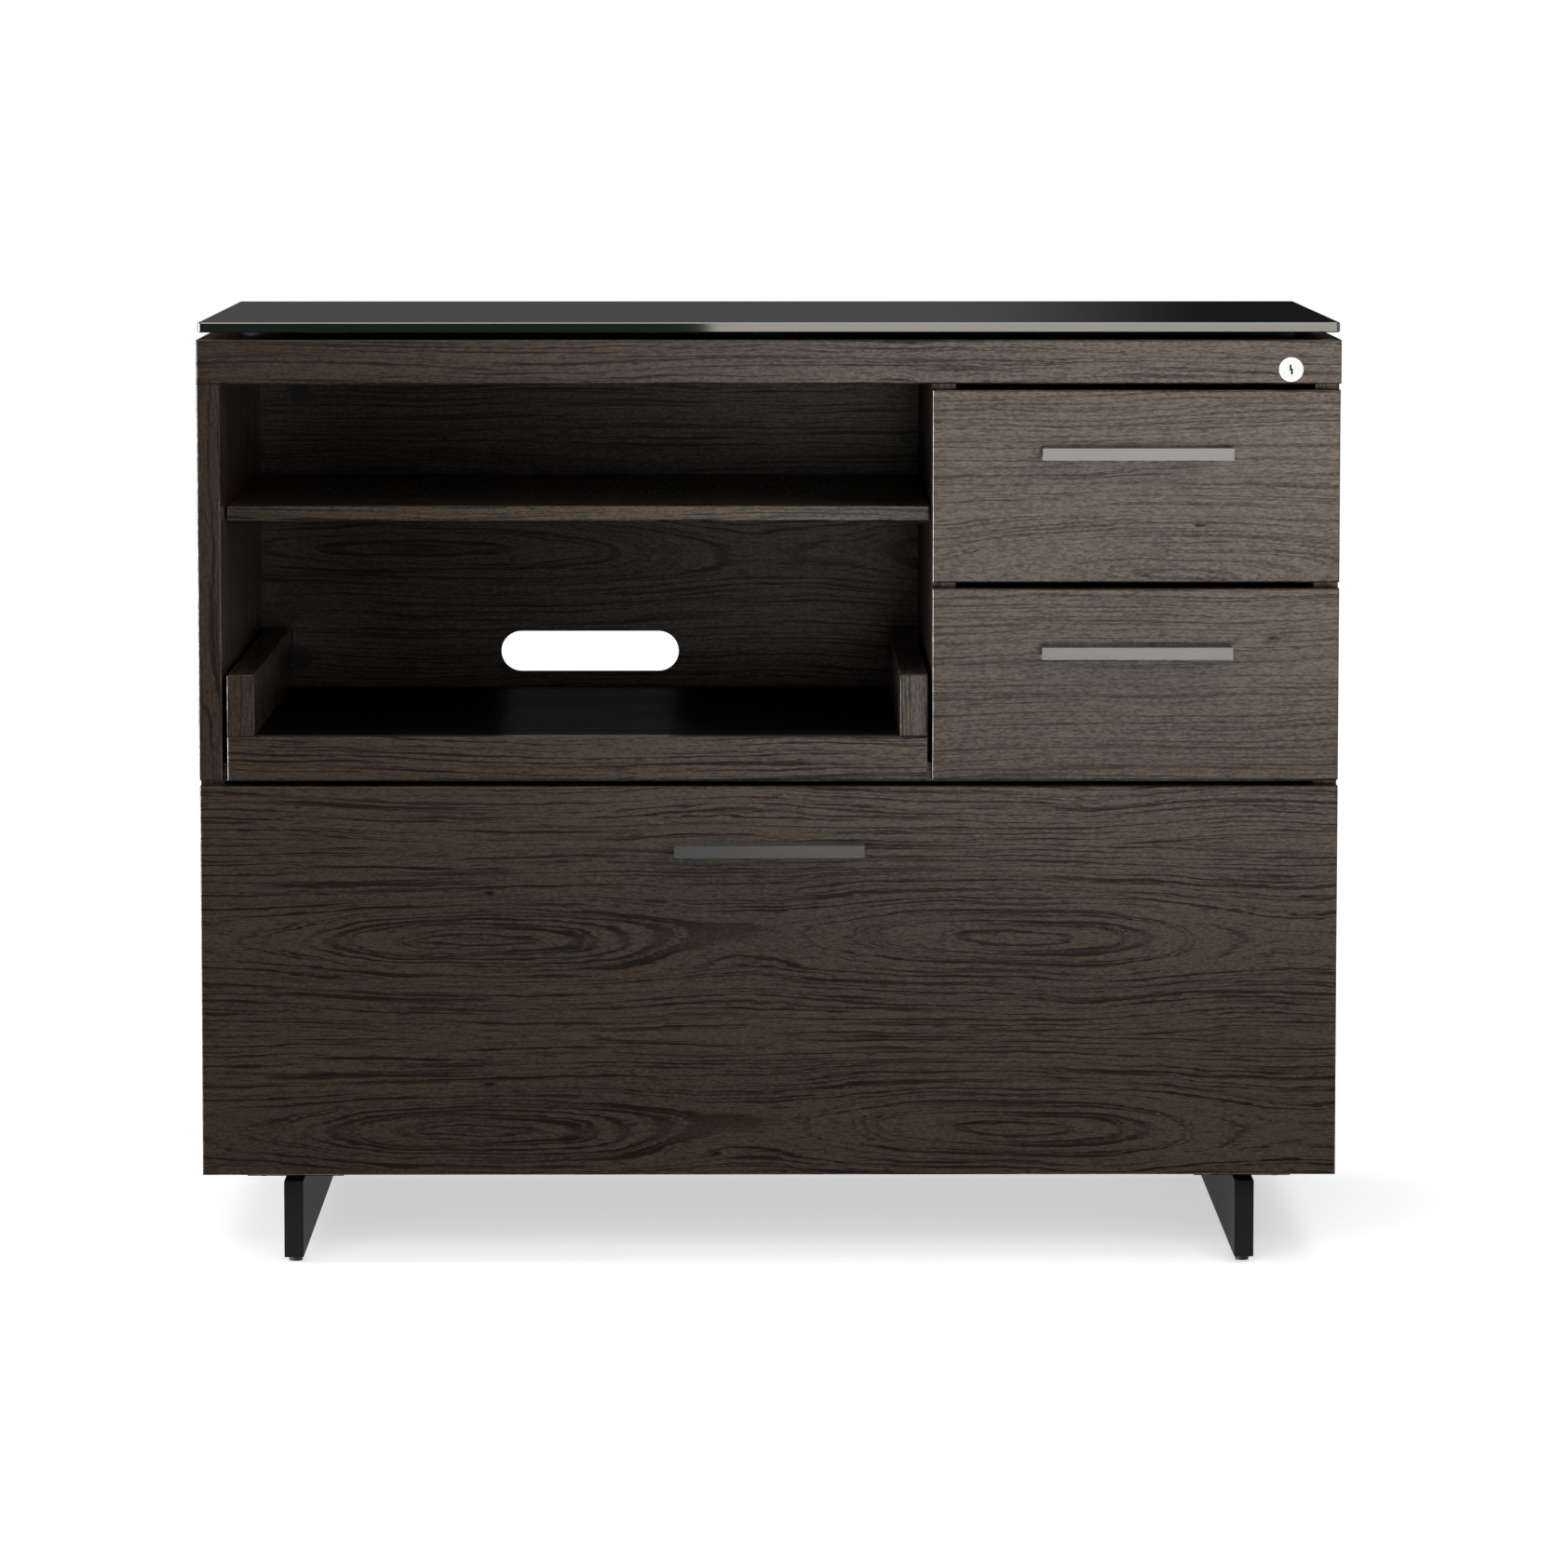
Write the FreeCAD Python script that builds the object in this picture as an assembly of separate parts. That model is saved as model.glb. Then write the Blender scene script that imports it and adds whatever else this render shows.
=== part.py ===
"""Office cabinet on blade legs, under a glass top.

An open bay with a shelf and a pull-out tray stands beside two small drawers, over one wide drawer for
hanging files. Millimetres, +Z up. The front faces -Y. The origin is on the floor, under the middle of
the cabinet's box, handles included.
"""
import FreeCAD, Part
import math
import os

Vector = FreeCAD.Vector
X_AXIS = Vector(1, 0, 0)
Y_AXIS = Vector(0, 1, 0)
Z_AXIS = Vector(0, 0, 1)

# Cabinet body
WIDTH = 915.0  # over the side panels
PANEL_THICKNESS = 19.0  # sides, bottom and divider
MID_PANEL_THICKNESS = 15.0  # between the file bay and the bays above it
TOP_PANEL_THICKNESS = 12.0
RAIL_HEIGHT = 35.0  # rail over the drawers and the open bay
DRAWER_BAY_WIDTH = 288.5  # clear width between the divider and the right side
BACK_PANEL_THICKNESS = 6.0
BACK_SEAM = 1.0  # between the upper and the lower back panel
CLEAT_THICKNESS = 8.0  # upright strips that the back panels are screwed to
CLEAT_WIDTH = 60.0

# Fronts
FRONT_THICKNESS = 20.0
FRONT_GAP = 2.0  # between a closed front and the edges of the cabinet behind it
FRONT_SIDE_INSET = 0.5
REVEAL = 5.0  # between neighbouring fronts
FILE_FRONT_LIFT = 1.0  # file front's lower edge above the cabinet's underside
FILE_FRONT_RISE = 20.0  # file front's top edge above its box
SMALL_FRONT_RISE = 25.0  # small front's top edge above its box
EDGE_ROUND = 1.2  # softened edges of the fronts

# Glass top on its round mounts
GLASS_THICKNESS = 8.0
GLASS_EDGE_INSET = 1.2
GLASS_CORNER_RADIUS = 3.0
GLASS_ARRIS = 0.8
GLASS_MOUNT_HEIGHT = 6.0
GLASS_MOUNT_RADIUS = 20.0
GLASS_MOUNT_SIDE = 50.0  # from the cabinet's side to the middle of an outer mount
GLASS_MOUNT_END = 96.0  # from the front or the back to the middle of a mount

# Blade legs with their mounting plates
LEG_HEIGHT = 62.0
LEG_THICKNESS = 15.5
LEG_SIDE = 73.0  # from the cabinet's side to the middle of the blade
LEG_END_INSET = 12.0  # from the drawer faces and from the back edges
PLATE_THICKNESS = 6.0
PLATE_WIDTH = 78.0
PLATE_INSET = 30.0  # plate's end behind the blade's end
LEG_SCREW_RADIUS = 2.5
LEG_SCREW_DEPTH = 12.0  # in the bottom panel
LEG_SCREW_HEAD_RADIUS = 4.5
LEG_SCREW_HEAD_HEIGHT = 2.6
LEG_SCREW_EDGE = 11.0  # from the plate's long edge
LEG_SCREW_END = 20.0  # from the plate's short edge
LEG_SCREW_ROWS = 3

# Screw-in feet
FOOT_HEIGHT = 6.0  # shows under the blade
FOOT_PAD_HEIGHT = 3.2
FOOT_PAD_RADIUS = 5.5
FOOT_NECK_RADIUS = 4.2
FOOT_STEM_RADIUS = 3.0
FOOT_STEM_LENGTH = 25.0
FOOT_END_INSET = 24.0  # from the blade's end

# Shelf on pins
SHELF_THICKNESS = 13.0
SHELF_DROP = 100.0  # shelf's top below the rail's lower edge
SHELF_SETBACK = 50.0  # behind the drawer faces
SHELF_BACK_GAP = 4.0
SHELF_SIDE_GAP = 1.0
PIN_RADIUS = 2.5
PIN_DEPTH = 10.0
PIN_REACH = 9.0  # under the shelf
PIN_INSET = 60.0  # from the shelf's front and back edges
PIN_PITCH = 32.0
PIN_ROWS_ABOVE = 1
PIN_ROWS_BELOW = 3
PIN_SEAT_GAP = 0.1

# Pull-out tray
TRAY_SIDE_GAP = 3.75
TRAY_LIP_HEIGHT = 35.0
TRAY_BASE_THICKNESS = 10.0
TRAY_WALL_THICKNESS = 22.0
TRAY_WALL_HEIGHT = 50.0
TRAY_BACK_GAP = 26.0  # between the closed tray and the back panel
TRAY_SLIDE_INSET = 90.0  # slide's middle from the tray's side

# Cable slot in the back of the open bay
SLOT_LENGTH = 154.0
SLOT_HEIGHT = 35.0
SLOT_RISE = 64.0  # slot's middle above the fronts' lower line

# Back panel fasteners
FASTENER_HEAD_RADIUS = 9.0
FASTENER_HEAD_HEIGHT = 2.0
FASTENER_RADIUS = 2.5
FASTENER_DEPTH = 6.0  # in the cleat
FASTENER_SIDE = 34.5  # from the side panel's inner face
UPPER_FASTENER_TOP = 53.0  # from the upper back panel's top edge
UPPER_FASTENER_FOOT = 53.0  # from its lower edge
LOWER_FASTENER_END = 45.0  # from the lower back panel's top and lower edges

# Dowels that join the boards
DOWEL_RADIUS = 4.0
DOWEL_FACE_DEPTH = 8.0  # in the face of one board
DOWEL_EDGE_DEPTH = 20.0  # in the edge of the other
DOWEL_END_GAP = 0.5
DOWEL_INSET = 60.0  # from the ends of a joint
RAIL_DOWEL_SIDE = 7.0  # from the cabinet's side

# Drawer boxes
WALL_THICKNESS = 12.0
DRAWER_BOTTOM_THICKNESS = 6.0
BOTTOM_RISE = 10.0  # drawer bottom above the walls' lower edges
BOTTOM_GROOVE = 6.0
GROOVE_GAP = 0.2
BOX_LENGTH = 450.0
BOX_BACK_GAP = 24.0  # between a closed drawer box and the back panel
SMALL_BOX_HEIGHT = 110.0
SMALL_BOX_LIFT = 19.0  # box above its front's lower edge
SMALL_SLIDE_RISE = 40.0  # slide's middle above the box's lower edge
FILE_BOX_HEIGHT = 265.0
FILE_BOX_LIFT = 30.0
FILE_SLIDE_RISE = 80.0

# Hanging-file bars in the file drawer
FILE_BAR_THICKNESS = 3.0
FILE_BAR_HEIGHT = 22.0
FILE_BAR_RISE = 8.0  # above the drawer walls
CROSS_BAR_DEPTH = 12.0  # below the top of the long bars
CROSS_BAR_SPACING = 310.0

# Three-part ball slides
SLIDE_THICKNESS = 12.7
SLIDE_WIDTH = 45.0
SLIDE_SETBACK = 3.0  # behind the front edges of the cabinet's boards
SLIDE_END_GAP = 5.0  # slide's end ahead of the drawer box's end
SLIDE_METAL = 1.3
SLIDE_TRACK = 4.5
SLIDE_LIP = 9.5  # reach of the outer member's flanges
SLIDE_PLAY = 0.3

# Tab handles
HANDLE_LENGTH = 152.4
HANDLE_REACH = 30.0
HANDLE_HEIGHT = 9.7
HANDLE_WALL = 2.8
HANDLE_DROP = 45.0  # handle's top below its front's top edge
HANDLE_SCREW_SPACING = 96.0
HANDLE_SCREW_RADIUS = 2.0
HANDLE_SCREW_HEAD_RADIUS = 4.0
HANDLE_SCREW_HEAD_HEIGHT = 2.2

# Lock in the rail, with the bar that it lifts
LOCK_SIDE = 40.5  # from the cabinet's side
LOCK_RISE = 11.5  # above the rail's lower edge
LOCK_HEAD_RADIUS = 9.8
LOCK_HEAD_PROUD = 2.0
LOCK_BARREL_RADIUS = 8.0
LOCK_BARREL_TAIL = 3.0  # behind the rail
LOCK_PLUG_RADIUS = 6.0
KEYWAY_WIDTH = 1.5
KEYWAY_HEIGHT = 8.0
KEYWAY_STEP = 1.1  # sideways step between the keyway's halves
KEYWAY_DEPTH = 12.0
CAM_GAP = 0.5  # between the barrel and the cam
CAM_THICKNESS = 2.5
CAM_HUB_RADIUS = 6.5
CAM_EYE_RADIUS = 3.5
CAM_SQUARE = 5.0  # plug's square end in the cam
CAM_SQUARE_PROUD = 0.3
CAM_PIN_RADIUS = 2.0
CAM_PIN_OFFSET = 7.0
CAM_PIN_REST_ANGLE = -45.0  # degrees from level, towards the right side
LOCK_TURN = 90.0
FORK_GAP = 1.0  # between the cam and the fork
FORK_THICKNESS = 3.0
FORK_WALL = 2.6
FORK_PLAY = 0.35
PIN_END_PROUD = 1.0  # cam pin past the fork
BAR_THICKNESS = 6.0
BAR_WIDTH = 16.0
BAR_PLAY = 0.3
BAR_TAIL = 12.0  # below the lowest locking pin
LOCK_PIN_RADIUS = 3.0
LOCK_PIN_REACH = 9.0
CATCH_REACH = 10.5
CATCH_LENGTH = 12.0
CATCH_DROP = 14.0  # catch's middle below the top of the drawer's walls
CATCH_GAP = 1.0  # between a catch and a lowered or raised locking pin

# Round fits
FIT_CLEARANCE = 0.05

# Lengths that follow from the drawer boxes
DEPTH = FRONT_THICKNESS + BOX_LENGTH + BOX_BACK_GAP + BACK_PANEL_THICKNESS + CLEAT_THICKNESS
SLIDE_LENGTH = BOX_LENGTH - FRONT_GAP - SLIDE_SETBACK - SLIDE_END_GAP
TRAY_LENGTH = DEPTH - CLEAT_THICKNESS - BACK_PANEL_THICKNESS - TRAY_BACK_GAP
FILE_FRONT_HEIGHT = FILE_BOX_LIFT + FILE_BOX_HEIGHT + FILE_FRONT_RISE
SMALL_FRONT_HEIGHT = SMALL_BOX_LIFT + SMALL_BOX_HEIGHT + SMALL_FRONT_RISE

# Places across the cabinet
X_SIDE = WIDTH / 2
X_INNER = X_SIDE - PANEL_THICKNESS
DIVIDER_RIGHT = X_INNER - DRAWER_BAY_WIDTH
DIVIDER_LEFT = DIVIDER_RIGHT - PANEL_THICKNESS
DIVIDER_MIDDLE = (DIVIDER_LEFT + DIVIDER_RIGHT) / 2
FRONT_SIDE = X_SIDE - FRONT_SIDE_INSET
OPEN_BAY_MIDDLE = (DIVIDER_LEFT - X_INNER) / 2
TRAY_LEFT = TRAY_SIDE_GAP - X_INNER
TRAY_RIGHT = DIVIDER_LEFT - TRAY_SIDE_GAP
LEG_X = X_SIDE - LEG_SIDE
LOCK_X = X_SIDE - LOCK_SIDE

# Places from front to back
Y_FACE = (HANDLE_REACH - DEPTH) / 2
Y_FRONT_BACK = Y_FACE + FRONT_THICKNESS
Y_CARCASS = Y_FRONT_BACK + FRONT_GAP
Y_BACK = Y_FACE + DEPTH
Y_CLEAT = Y_BACK - CLEAT_THICKNESS
Y_BACK_PANEL = Y_CLEAT - BACK_PANEL_THICKNESS
Y_LEG = (Y_FACE + LEG_END_INSET, Y_BACK - LEG_END_INSET)
Y_PLATE = (Y_LEG[0] + PLATE_INSET, Y_LEG[1] - PLATE_INSET)
Y_SLIDE = (Y_CARCASS + SLIDE_SETBACK, Y_CARCASS + SLIDE_SETBACK + SLIDE_LENGTH)
Y_SHELF = (Y_FACE + SHELF_SETBACK, Y_BACK_PANEL - SHELF_BACK_GAP)
Y_CAM = Y_CARCASS + LOCK_BARREL_TAIL + CAM_GAP
Y_FORK = Y_CAM + CAM_THICKNESS + FORK_GAP
Y_LOCK_PIN = Y_FORK + BAR_WIDTH / 2

# Heights
Z_BLADE = FOOT_HEIGHT
Z_PLATE = Z_BLADE + LEG_HEIGHT
Z_CARCASS = Z_PLATE + PLATE_THICKNESS
Z_FLOOR = Z_CARCASS + PANEL_THICKNESS
FILE_FRONT_Z = (Z_CARCASS + FILE_FRONT_LIFT, Z_CARCASS + FILE_FRONT_LIFT + FILE_FRONT_HEIGHT)
Z_FRONT_LINE = FILE_FRONT_Z[1] + REVEAL
LOWER_FRONT_Z = (Z_FRONT_LINE, Z_FRONT_LINE + SMALL_FRONT_HEIGHT)
UPPER_FRONT_Z = (LOWER_FRONT_Z[1] + REVEAL, LOWER_FRONT_Z[1] + REVEAL + SMALL_FRONT_HEIGHT)
Z_RAIL = UPPER_FRONT_Z[1] + REVEAL
Z_TOP = Z_RAIL + RAIL_HEIGHT
Z_TOP_PANEL = Z_TOP - TOP_PANEL_THICKNESS
Z_GLASS = Z_TOP + GLASS_MOUNT_HEIGHT
Z_TRAY = Z_FRONT_LINE + TRAY_LIP_HEIGHT
Z_TRAY_UNDERSIDE = Z_TRAY - TRAY_BASE_THICKNESS
Z_MID_TOP = Z_TRAY_UNDERSIDE - SLIDE_THICKNESS
Z_MID_UNDERSIDE = Z_MID_TOP - MID_PANEL_THICKNESS
Z_BACK_SEAM = (Z_MID_TOP + Z_MID_UNDERSIDE) / 2
Z_SHELF = Z_RAIL - SHELF_DROP
Z_SHELF_UNDERSIDE = Z_SHELF - SHELF_THICKNESS
Z_PIN = Z_SHELF_UNDERSIDE - PIN_SEAT_GAP - PIN_RADIUS
Z_SLOT = Z_FRONT_LINE + SLOT_RISE
Z_LOCK = Z_RAIL + LOCK_RISE
CAM_PIN_ANGLE = math.radians(CAM_PIN_REST_ANGLE)
CAM_PIN_X = LOCK_X + CAM_PIN_OFFSET * math.cos(CAM_PIN_ANGLE)
CAM_PIN_Z = Z_LOCK + CAM_PIN_OFFSET * math.sin(CAM_PIN_ANGLE)
LOCK_LIFT = CAM_PIN_OFFSET * (math.sin(CAM_PIN_ANGLE + math.radians(LOCK_TURN)) - math.sin(CAM_PIN_ANGLE))
FORK_HALF_HEIGHT = CAM_PIN_RADIUS + FORK_PLAY + FORK_WALL
CATCH_HEIGHT = 2 * (LOCK_LIFT - LOCK_PIN_RADIUS - CATCH_GAP)  # a raised pin meets its middle


class Drawer:
    """Sizes and places of one drawer, worked out from its bay and its front."""

    def __init__(self, bay_x, front_x, front_z, box_height, box_lift, slide_rise):
        self.bay_x = bay_x
        self.front_x = front_x
        self.front_z = front_z
        self.box_x = (bay_x[0] + SLIDE_THICKNESS, bay_x[1] - SLIDE_THICKNESS)
        self.box_y = (Y_FRONT_BACK, Y_FRONT_BACK + BOX_LENGTH)
        self.box_z = (front_z[0] + box_lift, front_z[0] + box_lift + box_height)
        self.inner_x = (self.box_x[0] + WALL_THICKNESS, self.box_x[1] - WALL_THICKNESS)
        self.inner_y = (self.box_y[0] + WALL_THICKNESS, self.box_y[1] - WALL_THICKNESS)
        self.bottom_z = (self.box_z[0] + BOTTOM_RISE, self.box_z[0] + BOTTOM_RISE + DRAWER_BOTTOM_THICKNESS)
        self.slide_z = self.box_z[0] + slide_rise
        self.handle_x = sum(front_x) / 2
        self.handle_top = front_z[1] - HANDLE_DROP
        self.handle_screw_z = self.handle_top - HANDLE_HEIGHT / 2
        self.catch_z = self.box_z[1] - CATCH_DROP
        self.lock_pin_z = self.catch_z - LOCK_LIFT


SMALL_BAY_X = (DIVIDER_RIGHT, X_INNER)
SMALL_FRONT_X = (DIVIDER_LEFT, FRONT_SIDE)
DRAWERS = {
    "upper_drawer": Drawer(SMALL_BAY_X, SMALL_FRONT_X, UPPER_FRONT_Z,
                           SMALL_BOX_HEIGHT, SMALL_BOX_LIFT, SMALL_SLIDE_RISE),
    "lower_drawer": Drawer(SMALL_BAY_X, SMALL_FRONT_X, LOWER_FRONT_Z,
                           SMALL_BOX_HEIGHT, SMALL_BOX_LIFT, SMALL_SLIDE_RISE),
    "file_drawer": Drawer((-X_INNER, X_INNER), (-FRONT_SIDE, FRONT_SIDE), FILE_FRONT_Z,
                          FILE_BOX_HEIGHT, FILE_BOX_LIFT, FILE_SLIDE_RISE),
}
Z_BAR = min(drawer.lock_pin_z for drawer in DRAWERS.values()) - BAR_TAIL
FEET = {
    "front_left_foot": (-LEG_X, Y_LEG[0] + FOOT_END_INSET),
    "front_right_foot": (LEG_X, Y_LEG[0] + FOOT_END_INSET),
    "rear_left_foot": (-LEG_X, Y_LEG[1] - FOOT_END_INSET),
    "rear_right_foot": (LEG_X, Y_LEG[1] - FOOT_END_INSET),
}


def block(x, y, z):
    """Box between the two ends of each span."""
    corner = Vector(x[0], y[0], z[0])
    return Part.makeBox(x[1] - x[0], y[1] - y[0], z[1] - z[0], corner)


def grown(span, amount):
    """Span made longer by the amount at both ends."""
    return (span[0] - amount, span[1] + amount)


def evenly(span, count):
    """Places from one end of the span to the other."""
    step = (span[1] - span[0]) / (count - 1)
    return [span[0] + step * index for index in range(count)]


def around(middle, length):
    """Span of the length about its middle."""
    return (middle - length / 2, middle + length / 2)


def rod(start, axis, radius, length):
    """Round bar from its start along the axis."""
    return Part.makeCylinder(radius, length, start, axis)


def extrude(points, direction):
    """Solid swept from a closed flat outline."""
    outline = Part.makePolygon(list(points) + [points[0]])
    return Part.Face(outline).extrude(direction)


def soft_fronted(solid):
    """The solid with the edges of its foremost face rounded."""
    front = solid.BoundBox.YMin
    edges = [edge for edge in solid.Edges if edge.BoundBox.YMax - front < EDGE_ROUND / 2]
    return solid.makeFillet(EDGE_ROUND, edges)


def dowel_places():
    """Point on each joint, and the direction into the board that is joined by its edge."""
    panel_rows = evenly(grown((Y_CARCASS, Y_BACK_PANEL), -DOWEL_INSET), 3)
    places = []
    for side in (-1, 1):
        for y in panel_rows:
            places.append((Vector(side * X_INNER, y, Z_CARCASS + PANEL_THICKNESS / 2), X_AXIS * -side))
            places.append((Vector(side * X_INNER, y, Z_BACK_SEAM), X_AXIS * -side))
            places.append((Vector(side * (X_SIDE - PANEL_THICKNESS / 2), y, Z_TOP_PANEL), -Z_AXIS))
        places.append((Vector(side * (X_SIDE - RAIL_DOWEL_SIDE), Y_CARCASS, Z_LOCK), Y_AXIS))
    for y in panel_rows:
        places.append((Vector(DIVIDER_MIDDLE, y, Z_TOP_PANEL), -Z_AXIS))
        places.append((Vector(DIVIDER_MIDDLE, y, Z_MID_TOP), Z_AXIS))
    for z in grown((Z_FRONT_LINE, Z_RAIL), -DOWEL_INSET):
        places.append((Vector(PANEL_THICKNESS / 2 - X_SIDE, Y_CARCASS, z), Y_AXIS))
    return places


def dowel_rods(radius, end_gap):
    """Rods along the dowels' axes."""
    rods = []
    for point, into_edge in dowel_places():
        start = point - into_edge * (DOWEL_FACE_DEPTH + end_gap)
        rods.append(rod(start, into_edge, radius, DOWEL_FACE_DEPTH + DOWEL_EDGE_DEPTH + 2 * end_gap))
    return rods


def drilled(board):
    """The board with the dowel holes that reach it."""
    return board.cut(dowel_rods(DOWEL_RADIUS + FIT_CLEARANCE, DOWEL_END_GAP))


def carcass_dowels():
    return dowel_rods(DOWEL_RADIUS, 0)


def pin_hole_rods():
    """Rods for the rows of shelf pin holes, on both sides of the open bay."""
    rods = []
    for y in grown(Y_SHELF, -PIN_INSET):
        for row in range(-PIN_ROWS_BELOW, PIN_ROWS_ABOVE + 1):
            z = Z_PIN + row * PIN_PITCH
            rods.append(rod(Vector(-X_INNER, y, z), -X_AXIS, PIN_RADIUS + FIT_CLEARANCE, PIN_DEPTH))
            rods.append(rod(Vector(DIVIDER_LEFT, y, z), X_AXIS, PIN_RADIUS + FIT_CLEARANCE, PIN_DEPTH))
    return rods


def left_side_panel():
    board = block((-X_SIDE, -X_INNER), (Y_CARCASS, Y_BACK), (Z_CARCASS, Z_TOP_PANEL))
    return [drilled(board).cut(pin_hole_rods())]


def right_side_panel():
    """Right side, with the groove that the lock bar runs in."""
    board = block((X_INNER, X_SIDE), (Y_CARCASS, Y_BACK), (Z_CARCASS, Z_TOP_PANEL))
    groove = block((X_INNER, X_INNER + BAR_THICKNESS + 2 * BAR_PLAY),
                   grown((Y_FORK, Y_FORK + BAR_WIDTH), BAR_PLAY),
                   (Z_BAR - BAR_PLAY, Z_TOP_PANEL))
    return [drilled(board).cut(groove)]


def bottom_panel():
    board = block((-X_INNER, X_INNER), (Y_CARCASS, Y_BACK), (Z_CARCASS, Z_FLOOR))
    return [drilled(board).cut(leg_screw_rods(LEG_SCREW_RADIUS + FIT_CLEARANCE))]


def mid_panel():
    board = block((-X_INNER, X_INNER), (Y_CARCASS, Y_BACK_PANEL), (Z_MID_UNDERSIDE, Z_MID_TOP))
    return [drilled(board)]


def divider_panel():
    board = block((DIVIDER_LEFT, DIVIDER_RIGHT), (Y_CARCASS, Y_BACK_PANEL), (Z_MID_TOP, Z_TOP_PANEL))
    return [drilled(board).cut(pin_hole_rods())]


def top_panel():
    return [drilled(block((-X_SIDE, X_SIDE), (Y_CARCASS, Y_BACK), (Z_TOP_PANEL, Z_TOP)))]


def front_rail():
    """Rail under the glass, bored for the lock."""
    board = soft_fronted(block((-X_SIDE, X_SIDE), (Y_FACE, Y_CARCASS), (Z_RAIL, Z_TOP)))
    bore = rod(Vector(LOCK_X, Y_FACE, Z_LOCK), Y_AXIS, LOCK_BARREL_RADIUS + FIT_CLEARANCE, Y_CARCASS - Y_FACE)
    return [drilled(board).cut(bore)]


def left_stile():
    board = soft_fronted(block((-X_SIDE, -X_INNER), (Y_FACE, Y_CARCASS), (Z_FRONT_LINE, Z_RAIL)))
    return [drilled(board)]


def fastener_places():
    """Middle of each back panel fastener, on the panels' inner face."""
    heights = [Z_TOP_PANEL - UPPER_FASTENER_TOP,
               Z_BACK_SEAM + BACK_SEAM / 2 + UPPER_FASTENER_FOOT,
               Z_BACK_SEAM - BACK_SEAM / 2 - LOWER_FASTENER_END,
               Z_FLOOR + LOWER_FASTENER_END]
    return [Vector(side * (X_INNER - FASTENER_SIDE), Y_BACK_PANEL, z) for side in (-1, 1) for z in heights]


def fastener_rods(radius):
    length = BACK_PANEL_THICKNESS + FASTENER_DEPTH
    return [rod(place, Y_AXIS, radius, length) for place in fastener_places()]


def back_panel_fasteners():
    """Flat-headed screws, heads inside the bays."""
    screws = []
    for place, shank in zip(fastener_places(), fastener_rods(FASTENER_RADIUS)):
        head = rod(place, -Y_AXIS, FASTENER_HEAD_RADIUS, FASTENER_HEAD_HEIGHT)
        screws.append(head.fuse(shank).removeSplitter())
    return screws


def upper_back_panel():
    """Back of the upper bays, with a round-ended slot for cables."""
    panel = block((-X_INNER, X_INNER), (Y_BACK_PANEL, Y_CLEAT), (Z_BACK_SEAM + BACK_SEAM / 2, Z_TOP_PANEL))
    straight = SLOT_LENGTH - SLOT_HEIGHT
    slot = block(around(OPEN_BAY_MIDDLE, straight), (Y_BACK_PANEL, Y_CLEAT), around(Z_SLOT, SLOT_HEIGHT))
    for x in around(OPEN_BAY_MIDDLE, straight):
        slot = slot.fuse(rod(Vector(x, Y_BACK_PANEL, Z_SLOT), Y_AXIS, SLOT_HEIGHT / 2, BACK_PANEL_THICKNESS))
    return [panel.cut(slot.removeSplitter()).cut(fastener_rods(FASTENER_RADIUS + FIT_CLEARANCE))]


def lower_back_panel():
    panel = block((-X_INNER, X_INNER), (Y_BACK_PANEL, Y_CLEAT), (Z_FLOOR, Z_BACK_SEAM - BACK_SEAM / 2))
    return [panel.cut(fastener_rods(FASTENER_RADIUS + FIT_CLEARANCE))]


def back_cleats():
    cleats = []
    for x in ((-X_INNER, CLEAT_WIDTH - X_INNER), (X_INNER - CLEAT_WIDTH, X_INNER)):
        cleat = block(x, (Y_CLEAT, Y_BACK), (Z_FLOOR, Z_TOP_PANEL))
        cleats.append(cleat.cut(fastener_rods(FASTENER_RADIUS + FIT_CLEARANCE)))
    return cleats


def glass_top():
    """Sheet with rounded corners and ground arrises."""
    sheet = block(grown((-X_SIDE, X_SIDE), -GLASS_EDGE_INSET), grown((Y_FACE, Y_BACK), -GLASS_EDGE_INSET),
                  (Z_GLASS, Z_GLASS + GLASS_THICKNESS))
    uprights = [edge for edge in sheet.Edges if edge.BoundBox.ZLength > GLASS_THICKNESS / 2]
    sheet = sheet.makeFillet(GLASS_CORNER_RADIUS, uprights)
    rims = [edge for edge in sheet.Edges if edge.BoundBox.ZLength < GLASS_THICKNESS / 2]
    return [sheet.makeChamfer(GLASS_ARRIS, rims)]


def glass_mounts():
    outer_x = X_SIDE - GLASS_MOUNT_SIDE
    return [rod(Vector(x, y, Z_TOP), Z_AXIS, GLASS_MOUNT_RADIUS, GLASS_MOUNT_HEIGHT)
            for x in evenly((-outer_x, outer_x), 3)
            for y in grown((Y_FACE, Y_BACK), -GLASS_MOUNT_END)]


def leg_screw_places(side):
    """Middle of each screw under one leg's plate."""
    return [Vector(x, y, Z_PLATE)
            for x in around(side * LEG_X, PLATE_WIDTH - 2 * LEG_SCREW_EDGE)
            for y in evenly(grown(Y_PLATE, -LEG_SCREW_END), LEG_SCREW_ROWS)]


def leg_screw_rods(radius):
    length = PLATE_THICKNESS + LEG_SCREW_DEPTH
    return [rod(place, Z_AXIS, radius, length) for side in (-1, 1) for place in leg_screw_places(side)]


def leg_screws():
    screws = []
    for place, shank in zip(leg_screw_places(-1) + leg_screw_places(1), leg_screw_rods(LEG_SCREW_RADIUS)):
        head = rod(place, -Z_AXIS, LEG_SCREW_HEAD_RADIUS, LEG_SCREW_HEAD_HEIGHT)
        screws.append(head.fuse(shank).removeSplitter())
    return screws


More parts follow.
